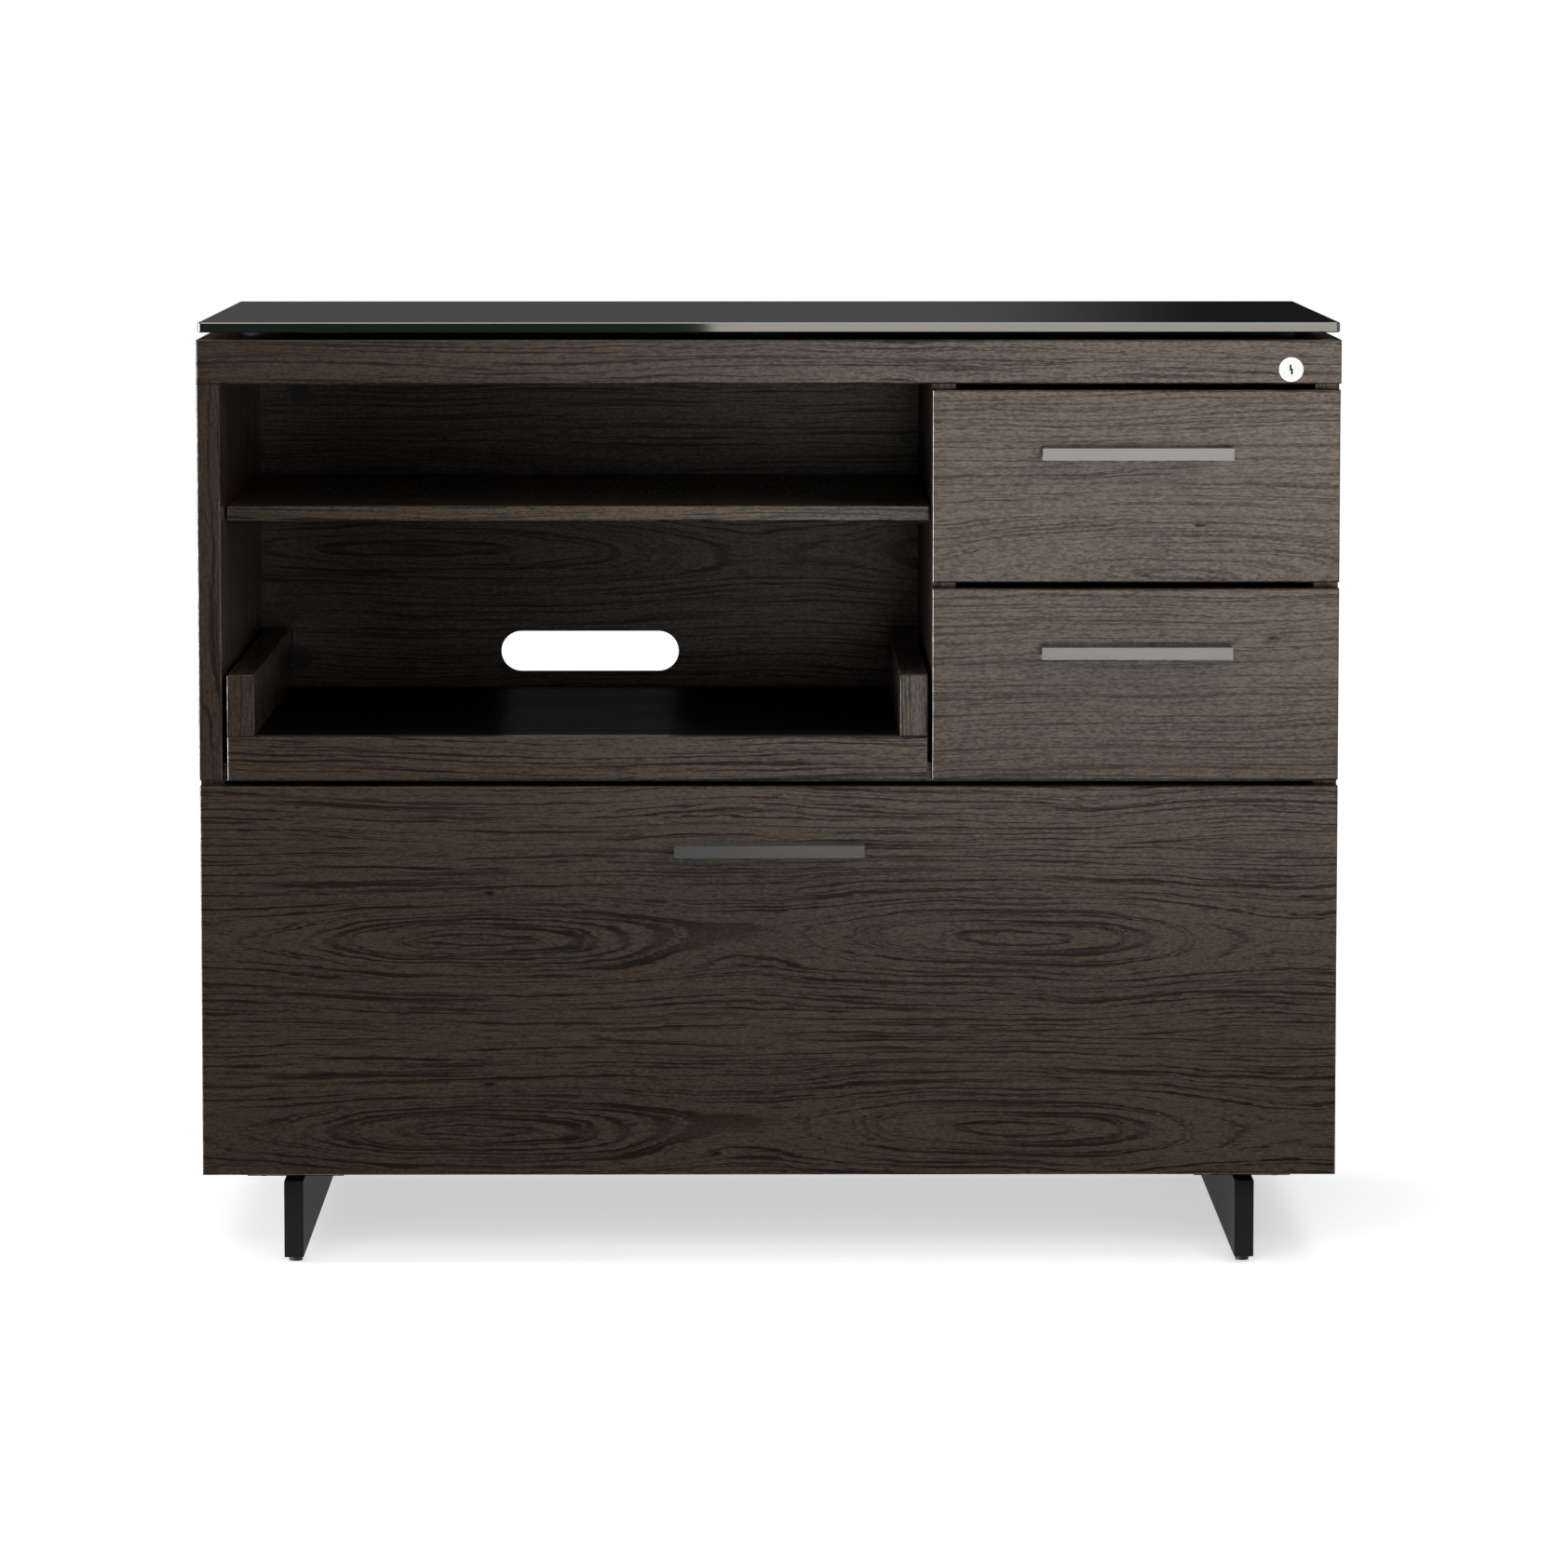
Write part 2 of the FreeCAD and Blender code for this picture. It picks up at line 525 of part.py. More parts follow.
def leg(side):
    """Upright blade, and the mounting plate welded along its top."""
    blade = block(around(side * LEG_X, LEG_THICKNESS), Y_LEG, (Z_BLADE, Z_PLATE))
    plate = block(around(side * LEG_X, PLATE_WIDTH), Y_PLATE, (Z_PLATE, Z_CARCASS))
    plate = plate.cut(leg_screw_rods(LEG_SCREW_RADIUS + FIT_CLEARANCE))
    stems = [rod(Vector(x, y, Z_BLADE), Z_AXIS, FOOT_STEM_RADIUS + FIT_CLEARANCE, FOOT_STEM_LENGTH)
             for x, y in FEET.values()]
    return [blade.cut(stems), plate]


def foot(name):
    """Round pad, neck and threaded stem."""
    x, y = FEET[name]
    pad = rod(Vector(x, y, 0), Z_AXIS, FOOT_PAD_RADIUS, FOOT_PAD_HEIGHT)
    neck = rod(Vector(x, y, FOOT_PAD_HEIGHT), Z_AXIS, FOOT_NECK_RADIUS, FOOT_HEIGHT - FOOT_PAD_HEIGHT)
    stem = rod(Vector(x, y, FOOT_HEIGHT), Z_AXIS, FOOT_STEM_RADIUS, FOOT_STEM_LENGTH)
    return [pad.fuse([neck, stem]).removeSplitter()]


def shelf():
    width = grown((-X_INNER, DIVIDER_LEFT), -SHELF_SIDE_GAP)
    board = block(width, Y_SHELF, (Z_SHELF_UNDERSIDE, Z_SHELF))
    return [soft_fronted(board)]


def shelf_pins():
    pins = []
    for y in grown(Y_SHELF, -PIN_INSET):
        for wall, inward in ((-X_INNER, 1), (DIVIDER_LEFT, -1)):
            start = Vector(wall - inward * PIN_DEPTH, y, Z_PIN)
            pins.append(rod(start, X_AXIS * inward, PIN_RADIUS, PIN_DEPTH + PIN_REACH))
    return pins


def tray_base():
    return [block((TRAY_LEFT, TRAY_RIGHT), (Y_FRONT_BACK, Y_FACE + TRAY_LENGTH), (Z_TRAY_UNDERSIDE, Z_TRAY))]


def tray_lip():
    return [soft_fronted(block((TRAY_LEFT, TRAY_RIGHT), (Y_FACE, Y_FRONT_BACK), (Z_FRONT_LINE, Z_TRAY)))]


def tray_sides():
    """Low walls on the tray's left and right edges."""
    spans = [(TRAY_LEFT, TRAY_LEFT + TRAY_WALL_THICKNESS), (TRAY_RIGHT - TRAY_WALL_THICKNESS, TRAY_RIGHT)]
    return [soft_fronted(block(x, (Y_FACE, Y_FACE + TRAY_LENGTH), (Z_TRAY, Z_TRAY + TRAY_WALL_HEIGHT)))
            for x in spans]


def channel_outline(back, web, tip, outer_half, inner_half):
    """C-section: a web from back to web, and two flanges that end at tip."""
    upper = [(web, inner_half), (tip, inner_half), (tip, outer_half), (back, outer_half)]
    return [(depth, -across) for depth, across in reversed(upper)] + upper


def slide_outlines():
    """Sections of the three slide members, depth from the mounting face, then width."""
    outer_half = SLIDE_WIDTH / 2
    track_half = outer_half - SLIDE_METAL - SLIDE_PLAY
    inner_half = track_half - SLIDE_TRACK - SLIDE_PLAY
    middle_back = SLIDE_METAL + SLIDE_PLAY
    middle_web = middle_back + SLIDE_METAL
    middle_tip = SLIDE_THICKNESS - middle_back
    return {
        "outer": channel_outline(0, SLIDE_METAL, SLIDE_LIP, outer_half, outer_half - SLIDE_METAL),
        "middle": channel_outline(middle_back, middle_web, middle_tip, track_half, track_half - SLIDE_TRACK),
        "inner": channel_outline(SLIDE_THICKNESS, SLIDE_THICKNESS - SLIDE_METAL, middle_web + SLIDE_PLAY,
                                 inner_half, inner_half - SLIDE_METAL),
    }


def drawer_slides(drawer, member):
    """One member of the slides on both sides of a drawer."""
    solids = []
    for wall, inward in zip(drawer.bay_x, (1, -1)):
        points = [Vector(wall + inward * depth, Y_SLIDE[0], drawer.slide_z + across)
                  for depth, across in slide_outlines()[member]]
        solids.append(extrude(points, Y_AXIS * SLIDE_LENGTH))
    return solids


def tray_slides(member):
    """One member of the two slides that lie flat under the tray."""
    solids = []
    for x in (TRAY_LEFT + TRAY_SLIDE_INSET, TRAY_RIGHT - TRAY_SLIDE_INSET):
        points = [Vector(x + across, Y_SLIDE[0], Z_MID_TOP + depth)
                  for depth, across in slide_outlines()[member]]
        solids.append(extrude(points, Y_AXIS * SLIDE_LENGTH))
    return solids


def slide_outers():
    solids = tray_slides("outer")
    for drawer in DRAWERS.values():
        solids += drawer_slides(drawer, "outer")
    return solids


def handle_screw_rods(drawer, radius):
    """Rods from the handle's back flange to the inside of the drawer box."""
    start = Y_FACE - HANDLE_WALL
    return [rod(Vector(x, start, drawer.handle_screw_z), Y_AXIS, radius, drawer.inner_y[0] - start)
            for x in around(drawer.handle_x, HANDLE_SCREW_SPACING)]


def drawer_front(drawer):
    board = soft_fronted(block(drawer.front_x, (Y_FACE, Y_FRONT_BACK), drawer.front_z))
    return [board.cut(handle_screw_rods(drawer, HANDLE_SCREW_RADIUS + FIT_CLEARANCE))]


def drawer_walls(drawer):
    """Two sides with the inner front and the back between them, all grooved for the bottom."""
    boards = [block((drawer.box_x[0], drawer.inner_x[0]), drawer.box_y, drawer.box_z),
              block((drawer.inner_x[1], drawer.box_x[1]), drawer.box_y, drawer.box_z),
              block(drawer.inner_x, (drawer.box_y[0], drawer.inner_y[0]), drawer.box_z),
              block(drawer.inner_x, (drawer.inner_y[1], drawer.box_y[1]), drawer.box_z)]
    groove = block(grown(drawer.inner_x, BOTTOM_GROOVE), grown(drawer.inner_y, BOTTOM_GROOVE),
                   grown(drawer.bottom_z, GROOVE_GAP))
    screws = handle_screw_rods(drawer, HANDLE_SCREW_RADIUS + FIT_CLEARANCE)
    return [board.cut(groove).cut(screws) for board in boards]


def drawer_bottom(drawer):
    reach = BOTTOM_GROOVE - GROOVE_GAP
    return [block(grown(drawer.inner_x, reach), grown(drawer.inner_y, reach), drawer.bottom_z)]


def handle(drawer):
    """Upside-down channel: a flat top, a front lip to pull on and a flange against the drawer front."""
    start = drawer.handle_x - HANDLE_LENGTH / 2
    lip = Y_FACE - HANDLE_REACH
    foot_z = drawer.handle_top - HANDLE_HEIGHT
    under_z = drawer.handle_top - HANDLE_WALL
    profile = [(lip, foot_z), (lip, drawer.handle_top), (Y_FACE, drawer.handle_top), (Y_FACE, foot_z),
               (Y_FACE - HANDLE_WALL, foot_z), (Y_FACE - HANDLE_WALL, under_z),
               (lip + HANDLE_WALL, under_z), (lip + HANDLE_WALL, foot_z)]
    channel = extrude([Vector(start, y, z) for y, z in profile], X_AXIS * HANDLE_LENGTH)
    return [channel.cut(handle_screw_rods(drawer, HANDLE_SCREW_RADIUS + FIT_CLEARANCE))]


def handle_screws(drawer):
    screws = []
    for x, shank in zip(around(drawer.handle_x, HANDLE_SCREW_SPACING),
                        handle_screw_rods(drawer, HANDLE_SCREW_RADIUS)):
        seat = Vector(x, drawer.inner_y[0], drawer.handle_screw_z)
        head = rod(seat, Y_AXIS, HANDLE_SCREW_HEAD_RADIUS, HANDLE_SCREW_HEAD_HEIGHT)
        screws.append(shank.fuse(head).removeSplitter())
    return screws


def lock_catch(drawer):
    """Block on the drawer's right side that a raised locking pin stops."""
    start = Y_LOCK_PIN + LOCK_PIN_RADIUS + CATCH_GAP
    return [block((drawer.box_x[1], drawer.box_x[1] + CATCH_REACH), (start, start + CATCH_LENGTH),
                  around(drawer.catch_z, CATCH_HEIGHT))]


def file_bars():
    """Two long bars for hanging folders, and two cross bars that hook over them."""
    drawer = DRAWERS["file_drawer"]
    top = drawer.box_z[1] + FILE_BAR_RISE
    front, back = drawer.inner_y
    long_z = (top - FILE_BAR_HEIGHT, top)
    bars = [block(drawer.inner_x, (front, front + FILE_BAR_THICKNESS), long_z),
            block(drawer.inner_x, (back - FILE_BAR_THICKNESS, back), long_z)]
    for x in around(0, CROSS_BAR_SPACING):
        width = around(x, FILE_BAR_THICKNESS)
        web = block(width, grown((front, back), -FILE_BAR_THICKNESS), (top - CROSS_BAR_DEPTH, top))
        hook = block(width, (front, back), (top, top + FILE_BAR_THICKNESS))
        bars.append(web.fuse(hook).removeSplitter())
    return bars


def lock_barrel():
    """Flanged sleeve in the rail."""
    start = Y_FACE - LOCK_HEAD_PROUD
    head = rod(Vector(LOCK_X, start, Z_LOCK), Y_AXIS, LOCK_HEAD_RADIUS, LOCK_HEAD_PROUD)
    length = Y_CARCASS + LOCK_BARREL_TAIL - start
    sleeve = rod(Vector(LOCK_X, start, Z_LOCK), Y_AXIS, LOCK_BARREL_RADIUS, length)
    bore = rod(Vector(LOCK_X, start, Z_LOCK), Y_AXIS, LOCK_PLUG_RADIUS + FIT_CLEARANCE, length)
    return [head.fuse(sleeve).removeSplitter().cut(bore)]


def lock_plug():
    """Turning plug with a stepped keyway, and a square end for the cam."""
    start = Y_FACE - LOCK_HEAD_PROUD
    plug = rod(Vector(LOCK_X, start, Z_LOCK), Y_AXIS, LOCK_PLUG_RADIUS, Y_CAM - start)
    square = block(around(LOCK_X, CAM_SQUARE), (Y_CAM, Y_CAM + CAM_THICKNESS + CAM_SQUARE_PROUD),
                   around(Z_LOCK, CAM_SQUARE))
    plug = plug.fuse(square).removeSplitter()
    depth = (start, start + KEYWAY_DEPTH)
    half = KEYWAY_HEIGHT / 2
    overlap = KEYWAY_WIDTH / 2
    upper = block(around(LOCK_X - KEYWAY_STEP / 2, KEYWAY_WIDTH), depth, (Z_LOCK - overlap, Z_LOCK + half))
    lower = block(around(LOCK_X + KEYWAY_STEP / 2, KEYWAY_WIDTH), depth, (Z_LOCK - half, Z_LOCK + overlap))
    return [plug.cut([upper, lower])]


def lock_cam():
    """Plate on the plug's square end, with the pin that lifts the fork."""
    hub = rod(Vector(LOCK_X, Y_CAM, Z_LOCK), Y_AXIS, CAM_HUB_RADIUS, CAM_THICKNESS)
    eye = rod(Vector(CAM_PIN_X, Y_CAM, CAM_PIN_Z), Y_AXIS, CAM_EYE_RADIUS, CAM_THICKNESS)
    pin = rod(Vector(CAM_PIN_X, Y_CAM, CAM_PIN_Z), Y_AXIS, CAM_PIN_RADIUS,
              Y_FORK + FORK_THICKNESS + PIN_END_PROUD - Y_CAM)
    side = CAM_SQUARE + 2 * FIT_CLEARANCE
    hole = block(around(LOCK_X, side), (Y_CAM, Y_CAM + CAM_THICKNESS), around(Z_LOCK, side))
    return [hub.fuse([eye, pin]).removeSplitter().cut(hole)]


def lock_bar():
    """Upright bar in the right side's groove, with a slotted fork at the lock and a pin at each drawer."""
    bar_x = (X_INNER + BAR_PLAY, X_INNER + BAR_PLAY + BAR_THICKNESS)
    fork_z = (CAM_PIN_Z - FORK_HALF_HEIGHT, CAM_PIN_Z + FORK_HALF_HEIGHT)
    bar = block(bar_x, (Y_FORK, Y_FORK + BAR_WIDTH), (Z_BAR, fork_z[1]))
    slot_half = CAM_PIN_RADIUS + FORK_PLAY
    slot_x = (CAM_PIN_X - slot_half, LOCK_X + CAM_PIN_OFFSET + slot_half)
    fork = block((slot_x[0] - FORK_WALL, bar_x[0]), (Y_FORK, Y_FORK + FORK_THICKNESS), fork_z)
    slot = block(slot_x, (Y_FORK, Y_FORK + FORK_THICKNESS), (CAM_PIN_Z - slot_half, CAM_PIN_Z + slot_half))
    pins = [rod(Vector(bar_x[0], Y_LOCK_PIN, drawer.lock_pin_z), -X_AXIS, LOCK_PIN_RADIUS, LOCK_PIN_REACH)
            for drawer in DRAWERS.values()]
    return [bar.fuse([fork.cut(slot)] + pins).removeSplitter()]


def sub_parts():
    """Every sub-part's name with its solids."""
    parts = {
        "left_side_panel": left_side_panel(),
        "right_side_panel": right_side_panel(),
        "bottom_panel": bottom_panel(),
        "mid_panel": mid_panel(),
        "divider_panel": divider_panel(),
        "top_panel": top_panel(),
        "front_rail": front_rail(),
        "left_stile": left_stile(),
        "upper_back_panel": upper_back_panel(),
        "lower_back_panel": lower_back_panel(),
        "back_cleats": back_cleats(),
        "back_panel_fasteners": back_panel_fasteners(),
        "carcass_dowels": carcass_dowels(),
        "glass_top": glass_top(),
        "glass_mounts": glass_mounts(),
        "left_leg": leg(-1),
        "right_leg": leg(1),
        "leg_screws": leg_screws(),
        "shelf": shelf(),
        "shelf_pins": shelf_pins(),
        "tray_base": tray_base(),
        "tray_lip": tray_lip(),
        "tray_sides": tray_sides(),
        "slide_outers": slide_outers(),
        "tray_slide_middles": tray_slides("middle"),
        "tray_slide_inners": tray_slides("inner"),
        "lock_barrel": lock_barrel(),
        "lock_plug": lock_plug(),
        "lock_cam": lock_cam(),
        "lock_bar": lock_bar(),
        "file_bars": file_bars(),
    }
    for name in FEET:
        parts[name] = foot(name)
    for name, drawer in DRAWERS.items():
        parts[name + "_front"] = drawer_front(drawer)
        parts[name + "_walls"] = drawer_walls(drawer)
        parts[name + "_bottom"] = drawer_bottom(drawer)
        parts[name + "_handle"] = handle(drawer)
        parts[name + "_handle_screws"] = handle_screws(drawer)
        parts[name + "_lock_catch"] = lock_catch(drawer)
        parts[name + "_slide_inners"] = drawer_slides(drawer, "inner")
        parts[name + "_slide_middles"] = drawer_slides(drawer, "middle")
    return parts


os.makedirs("parts", exist_ok=True)
for part_name, solids in sub_parts().items():
    shape = solids[0] if len(solids) == 1 else Part.makeCompound(solids)
    shape.exportStep("parts/" + part_name + ".step")
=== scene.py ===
"""Office cabinet on blade legs: finishes, soft edges, studio light and the camera's place."""
import bpy
import bmesh
import math
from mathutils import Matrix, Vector

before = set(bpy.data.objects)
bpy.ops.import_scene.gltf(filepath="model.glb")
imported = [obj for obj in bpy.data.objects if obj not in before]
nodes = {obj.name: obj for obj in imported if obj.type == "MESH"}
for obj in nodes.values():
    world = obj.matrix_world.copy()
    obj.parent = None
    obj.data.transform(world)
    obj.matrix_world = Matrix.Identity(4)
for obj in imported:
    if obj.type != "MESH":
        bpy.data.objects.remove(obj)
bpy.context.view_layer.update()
scene = bpy.context.scene

DRAWERS = ("upper_drawer", "lower_drawer", "file_drawer")
FEET = ("front_left_foot", "front_right_foot", "rear_left_foot", "rear_right_foot")

FLOAT = "NodeSocketFloat"
VECTOR = "NodeSocketVector"
BLACK = (0.0, 0.0, 0.0, 1.0)
WHITE = (1.0, 1.0, 1.0, 1.0)

# Streaks of the veneer: how many in a metre along the grain and across it, and how fine
DRIFT = (3.1, 8.0, 2.0)
RIPPLE = (15.0, 55.0, 2.0)
HOLLOWS = (9.0, 14.0, 2.0)
GROWTH = (2.2, 42.0, 1.0)
FRAY = (38.0, 480.0, 2.0)
BREAKS = (7.0, 90.0, 3.0)
PORE_DASHES = (70.0, 700.0, 1.0)
PORE_LINES = (5.0, 480.0, 3.0)
FIBRES = (260.0, 820.0, 1.0)
TONES = (1.7, 12.0, 3.0)

# How far those streaks move the rings, in metres
DRIFT_REACH = 0.024
RIPPLE_REACH = 0.0034
HOLLOW_REACH = 0.012
GROWTH_REACH = 0.009
FRAY_REACH = 0.0034

# Rings of the veneer, in metres where they are lengths
SAW_SLOPE = 1.25
EYE_DEPTH = 0.0190
EYE_SWING = 0.015
RING_COUNT = 410.0
RING_CROWDING = 1.4
RING_SHARPNESS = 5.0
YEAR_CONTRAST = 2.5
STRONGEST_YEAR = 0.62
WEAKEST_YEAR = 0.10
KNOT_LENGTH = 0.0074
KNOT_HEIGHT = 0.0025
DASH_WEIGHT = 0.8

# Stain of the veneer, as a picture shows it
EARLY_WOOD = (90, 73, 59)
LATE_WOOD = (18, 11, 7)
OPEN_PORE = (25, 16, 11)
SMALL_FRONT_WOOD = (96, 78, 63)
LARGE_FRONT_WOOD = (94, 76, 61)
# The back panels' stain is darker and lower in contrast than the fronts': partly stain, partly
# painted shade for the dark open bay
BACK_STAIN_WITH_PAINTED_SHADE = {"early": (80, 65, 52), "late": (38, 29, 23), "pore": (40, 31, 25), "lacquer": 0.3}
PALEST, DARKEST = 1.20, 0.80
NO_KNOT = (9.0, 9.0)

# Shares of the other tone in metal and coated faces
METAL_SHADE = 0.9
COATED_SHADE = 0.86
COATED_SPREAD = 0.12

# Where the lock plug's face ends and the painted shade of its keyway begins
KEYWAY_FRONT, KEYWAY_INSIDE = -0.2409, -0.2402

# Studio: half its width, and the heights of its upper walls and ceiling
STUDIO_HALF = 9
WALL_FOOT = 1.4
CEILING = 6.5
FLOOR_HALF = 14
ON_FLOOR = 0.002
# Glow of the floor near the cabinet: painted shade under and around it
SHADOW_TONE = 0.56
EVEN_LIGHT = 0.16
WARM_WHITE = (255, 248, 239)
CARD_WHITE = ((255, 255, 255), (250, 250, 250))
CARD_BLACK = (12, 12, 12)
SLOW_STEP = (-1.0, 1.0)
WALL_STEP = (-2.0, 2.0)

# Camera: lens in millimetres, place and aim in metres
LENS = 168.4
SENSOR = 36.0
SIGHT_END = 60.0
CAMERA_PLACE = (-0.020, -6.099, 0.976)
CAMERA_AIM = (0.012, -0.239, 0.392)


def linear(red, green, blue):
    """Colour as a shader takes it, from the values of a picture, 0 to 255."""
    def channel(value):
        value /= 255.0
        return value / 12.92 if value <= 0.04045 else ((value + 0.055) / 1.055) ** 2.4
    return (channel(red), channel(green), channel(blue), 1.0)


def toned(colour, share):
    """Colour of a picture, lightened or darkened by one share, as a shader takes it."""
    return linear(*[part * share for part in colour])


class Graph:
    """Adds nodes to one node tree, and links or fills their sockets."""

    def __init__(self, tree):
        self.tree = tree

    def fill(self, socket, value):
        if isinstance(value, bpy.types.NodeSocket):
            self.tree.links.new(value, socket)
        else:
            socket.default_value = value

    def add(self, kind, sockets=None, **settings):
        node = self.tree.nodes.new(kind)
        for name, value in settings.items():
            setattr(node, name, value)
        for key, value in (sockets or {}).items():
            self.fill(node.inputs[key], value)
        return node

    def math(self, operation, *values):
        node = self.add("ShaderNodeMath", operation=operation)
        for index, value in enumerate(values):
            self.fill(node.inputs[index], value)
        return node.outputs[0]

    def place(self, x, y, z):
        return self.add("ShaderNodeCombineXYZ", {0: x, 1: y, 2: z}).outputs[0]

    def split(self, vector):
        return self.add("ShaderNodeSeparateXYZ", {0: vector}).outputs

    def noise(self, vector, scale, detail, roughness=0.5):
        sockets = {"Vector": vector, "Scale": scale, "Detail": detail, "Roughness": roughness}
        return self.add("ShaderNodeTexNoise", sockets).outputs[0]

    def between(self, value, low, high, start=0.0, end=1.0):
        sockets = {0: value, 1: low, 2: high, 3: start, 4: end}
        node = self.add("ShaderNodeMapRange", sockets, interpolation_type="SMOOTHSTEP")
        return node.outputs[0]

    def choose(self, factor, first, second):
        return self.add("ShaderNodeMix", {0: factor, 2: first, 3: second}).outputs[0]

    def blend(self, factor, first, second):
        sockets = {0: factor, 6: first, 7: second}
        return self.add("ShaderNodeMix", sockets, data_type="RGBA").outputs[2]

    def group(self, tree, **sockets):
        node = self.add("ShaderNodeGroup", node_tree=tree)
        for name, value in sockets.items():
            self.fill(node.inputs[name.replace("_", " ")], value)
        return node.outputs

    def bump(self, height, strength, distance):
        sockets = {"Height": height, "Strength": strength, "Distance": distance}
        return self.add("ShaderNodeBump", sockets).outputs[0]


def new_group(name, inputs, outputs):
    """Empty node group with named sockets, its graph, its inputs and its output node."""
    tree = bpy.data.node_groups.new(name, "ShaderNodeTree")
    for socket_name, kind in inputs:
        tree.interface.new_socket(socket_name, in_out="INPUT", socket_type=kind)
    for socket_name, kind in outputs:
        tree.interface.new_socket(socket_name, in_out="OUTPUT", socket_type=kind)
    graph = Graph(tree)
    return graph, graph.add("NodeGroupInput").outputs, graph.add("NodeGroupOutput")


def make_ash_grain():
    """Flat-sawn ash: rings that close into long eyes, a pin knot, open pores, fibres and tone."""
    graph, given, result = new_group(
        "ash_grain",
        [("Along", FLOAT), ("Across", FLOAT), ("Eye Place", FLOAT), ("Eye Spacing", FLOAT),
         ("Leaf Height", FLOAT), ("Heart Line", FLOAT), ("Knot Place", FLOAT),
         ("Knot Rise", FLOAT), ("Seed", FLOAT)],
        [("Late Wood", FLOAT), ("Pores", FLOAT), ("Fibre", FLOAT), ("Tone", FLOAT)])
    along, across, seed = given["Along"], given["Across"], given["Seed"]

    def streaked(streaks, level=across, roughness=0.5):
        in_length, in_height, detail = streaks
        spot = graph.place(graph.math("MULTIPLY", along, in_length),
                           graph.math("MULTIPLY", level, in_height), seed)
        return graph.noise(spot, 1.0, detail, roughness)

    def shifted(value, reach, noise):
        return graph.math("MULTIPLY_ADD", graph.math("SUBTRACT", noise, 0.5), reach, value)

    def length(first, second):
        first_square = graph.math("POWER", first, 2.0)
        second_square = graph.math("POWER", second, 2.0)
        return graph.math("SQRT", graph.math("ADD", first_square, second_square))

    # Each leaf of veneer repeats about its own heart line
    from_heart = graph.math("SUBTRACT", across, given["Heart Line"])
    half_leaf = graph.math("MULTIPLY", given["Leaf Height"], 0.5)
    leaf = graph.math("WRAP", from_heart, half_leaf, graph.math("MULTIPLY", half_leaf, -1.0))
    drift = shifted(leaf, DRIFT_REACH, streaked(DRIFT, leaf))
    ripple = shifted(drift, RIPPLE_REACH, streaked(RIPPLE, leaf))
    side = graph.math("MULTIPLY", ripple, SAW_SLOPE)

    # The cut dips towards the pith at each eye
    from_eye = graph.math("SUBTRACT", along, given["Eye Place"])
    eyes = graph.math("DIVIDE", from_eye, given["Eye Spacing"])
    turn = graph.math("MULTIPLY", eyes, 2.0 * math.pi)
    hollow = graph.math("MULTIPLY_ADD", graph.math("COSINE", turn), -EYE_SWING, EYE_DEPTH)
    depth = shifted(hollow, HOLLOW_REACH, streaked(HOLLOWS, leaf))
    from_pith = length(side, depth)
    grown = shifted(from_pith, GROWTH_REACH, streaked(GROWTH, leaf))
    ring = shifted(grown, FRAY_REACH, streaked(FRAY))

    # Rings fade where the cut runs along them
    cut_across = graph.math("DIVIDE", graph.math("ABSOLUTE", side), from_pith)
    clear = graph.between(cut_across, 0.05, 0.6, 0.55, 1.0)

    # Rings lie closer together away from the heart, and each year has its own strength
    crowded = graph.math("POWER", graph.math("ABSOLUTE", ring), RING_CROWDING)
    count = graph.math("MULTIPLY", crowded, RING_COUNT)
    phase = graph.math("FRACT", count)
    year_number = graph.math("ADD", graph.math("FLOOR", count), seed)
    year = graph.add("ShaderNodeTexWhiteNoise", {"W": year_number},
                     noise_dimensions="1D").outputs["Value"]
    strength = graph.math("MULTIPLY_ADD", graph.math("POWER", year, YEAR_CONTRAST),
                          STRONGEST_YEAR, WEAKEST_YEAR)
    band = graph.math("MULTIPLY", graph.math("POWER", phase, RING_SHARPNESS), strength)
    clear_band = graph.math("MULTIPLY", band, clear)
    broken = graph.between(streaked(BREAKS, grown), 0.40, 0.64, 0.08, 0.88)
    past_knot = graph.math("SUBTRACT", along, given["Knot Place"])
    knot_along = graph.math("DIVIDE", past_knot, KNOT_LENGTH)
    over_knot = graph.math("SUBTRACT", leaf, given["Knot Rise"])
    knot_across = graph.math("DIVIDE", over_knot, KNOT_HEIGHT)
    knot = graph.between(length(knot_along, knot_across), 0.25, 1.0, 1.0, 0.0)
    late = graph.math("MAXIMUM", graph.math("MULTIPLY", clear_band, broken), knot)

    # Pores are short dashes in early wood and long lines along the rings
    early = graph.math("MULTIPLY_ADD", graph.math("SUBTRACT", 1.0, phase), 0.6, 0.4)
    pocks = graph.between(streaked(PORE_DASHES), 0.54, 0.7)
    dashes = graph.math("MULTIPLY", pocks, early)
    furrows = graph.between(streaked(PORE_LINES, ring, 0.6), 0.49, 0.61)
    lines = graph.math("MULTIPLY", furrows, clear)
    pores = graph.math("MAXIMUM", graph.math("MULTIPLY", dashes, DASH_WEIGHT), lines)
    graph.fill(result.inputs["Late Wood"], late)
    graph.fill(result.inputs["Pores"], pores)
    graph.fill(result.inputs["Fibre"], graph.between(streaked(FIBRES), 0.34, 0.66))
    graph.fill(result.inputs["Tone"], streaked(TONES))
    return graph.tree


def make_fine_lines():
    """Fine brushed lines along one direction, as on drawn or satin metal."""
    graph, given, result = new_group(
        "brushed_lines", [("Along", FLOAT), ("Across", FLOAT), ("Depth", FLOAT)],
        [("Lines", FLOAT), ("Cloud", FLOAT)])

    def stretched(in_length, in_height):
        return graph.place(graph.math("MULTIPLY", given["Along"], in_length),
                           graph.math("MULTIPLY", given["Across"], in_height),
                           graph.math("MULTIPLY", given["Depth"], in_height))

    lines = stretched(30.0, 4200.0)
    cloud = stretched(22.0, 40.0)
    graph.fill(result.inputs["Lines"], graph.noise(lines, 1.0, 2.0))
    graph.fill(result.inputs["Cloud"], graph.noise(cloud, 1.0, 3.0))
    return graph.tree


